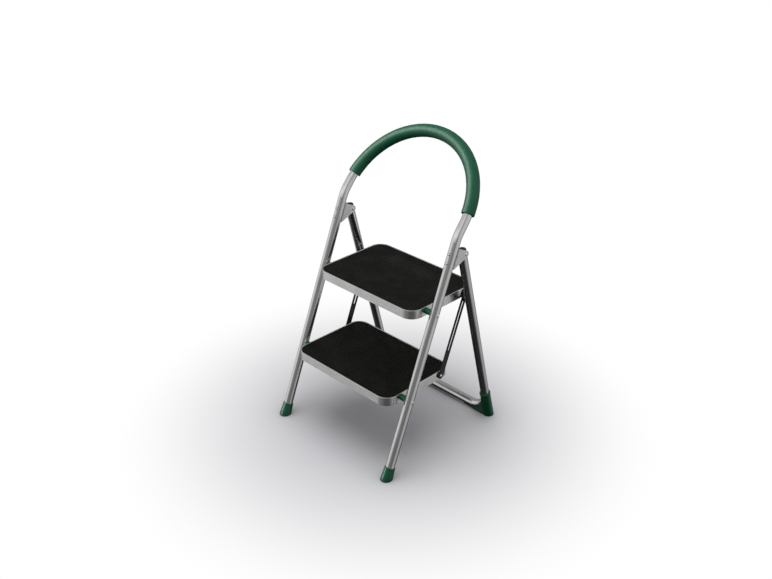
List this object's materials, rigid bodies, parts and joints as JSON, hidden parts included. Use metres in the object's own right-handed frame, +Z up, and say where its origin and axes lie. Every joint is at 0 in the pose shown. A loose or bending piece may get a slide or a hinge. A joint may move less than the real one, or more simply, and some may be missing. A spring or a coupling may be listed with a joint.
{
  "type": "folding step stool",
  "caption": "Folding step stool of bent steel tube with rubber-matted trays, a sleeved hoop handle, hinged rear legs and slotted side links; it stands free and folds flat.",
  "frame": {"origin": "on the floor under the middle of the open stool's box", "axes": "+Z up, +X to the right of someone facing the steps, +Y towards the rear legs"},
  "size_m": [0.4586, 0.4608, 0.8394],
  "materials": {
    "frame_tube": "silver lacquer, satin",
    "tray_steel": "silver lacquer, satin",
    "bracket_steel": "zinc plated, matt",
    "zinc_fastener": "bright zinc",
    "grip_sleeve": "soft satin sleeve",
    "boot_rubber": "moulded, satin",
    "spacer_plastic": "moulded, satin",
    "step_mat": "ribbed, matt",
    "black_link": "black lacquer, satin",
    "black_plastic": "moulded, matt"
  },
  "bodies": {
    "front_frame": {"front_frame_tube": "frame_tube", "handle_grip": "grip_sleeve", "bracket_rivets": "zinc_fastener", "pivot_nuts": "zinc_fastener", "front_foot_left": "boot_rubber", "front_foot_right": "boot_rubber", "hinge_bracket_left": "bracket_steel", "hinge_bracket_right": "bracket_steel", "hinge_rivet_left": "zinc_fastener", "hinge_rivet_right": "zinc_fastener", "upper_spacer_left": "spacer_plastic", "upper_spacer_right": "spacer_plastic", "lower_spacer_left": "spacer_plastic", "lower_spacer_right": "spacer_plastic", "upper_pivot_bolt_left": "zinc_fastener", "upper_pivot_bolt_right": "zinc_fastener", "lower_pivot_bolt_left": "zinc_fastener", "lower_pivot_bolt_right": "zinc_fastener"},
    "rear_frame": {"rear_frame_tube": "frame_tube", "rear_foot_left": "boot_rubber", "rear_foot_right": "boot_rubber", "rear_leg_plug_left": "black_plastic", "rear_leg_plug_right": "black_plastic", "guide_stud_left": "black_plastic", "guide_stud_right": "black_plastic"},
    "upper_step": {"upper_step_tray": "tray_steel", "upper_step_mat": "step_mat", "upper_link_rivet_left": "zinc_fastener", "upper_link_rivet_right": "zinc_fastener"},
    "lower_step": {"lower_step_tray": "tray_steel", "lower_step_mat": "step_mat", "lower_link_rivet_left": "zinc_fastener", "lower_link_rivet_right": "zinc_fastener"},
    "link_left": {"side_link_left": "black_link"},
    "link_right": {"side_link_right": "black_link"}
  },
  "joints": [
    {"name": "step_fold", "type": "hinge", "parent": "front_frame", "child": "upper_step", "pos_m": [0, -0.03731, 0.43744], "axis": [1, 0, 0], "range_deg": [0, 53.26]},
    {"name": "lower_step_fold", "type": "hinge", "parent": "front_frame", "child": "lower_step", "pos_m": [0, -0.12805, 0.21116], "axis": [1, 0, 0], "range_deg": [0, 53.27]},
    {"name": "rear_frame_fold", "type": "hinge", "parent": "front_frame", "child": "rear_frame", "pos_m": [0, 0.06159, 0.58065], "axis": [1, 0, 0], "range_deg": [-36.58, 0]},
    {"name": "left_link_fold", "type": "hinge", "parent": "upper_step", "child": "link_left", "pos_m": [0, 0.11249, 0.43744], "axis": [1, 0, 0], "range_deg": [-53.27, 0]},
    {"name": "right_link_fold", "type": "hinge", "parent": "upper_step", "child": "link_right", "pos_m": [0, 0.11249, 0.43744], "axis": [1, 0, 0], "range_deg": [-53.27, 0]}
  ],
  "couplings": [
    {"joint": "lower_step_fold", "follows": "step_fold", "ratio": 1},
    {"joint": "rear_frame_fold", "follows": "step_fold", "ratio": -0.68685},
    {"joint": "left_link_fold", "follows": "step_fold", "ratio": -1},
    {"joint": "right_link_fold", "follows": "step_fold", "ratio": -1}
  ]
}
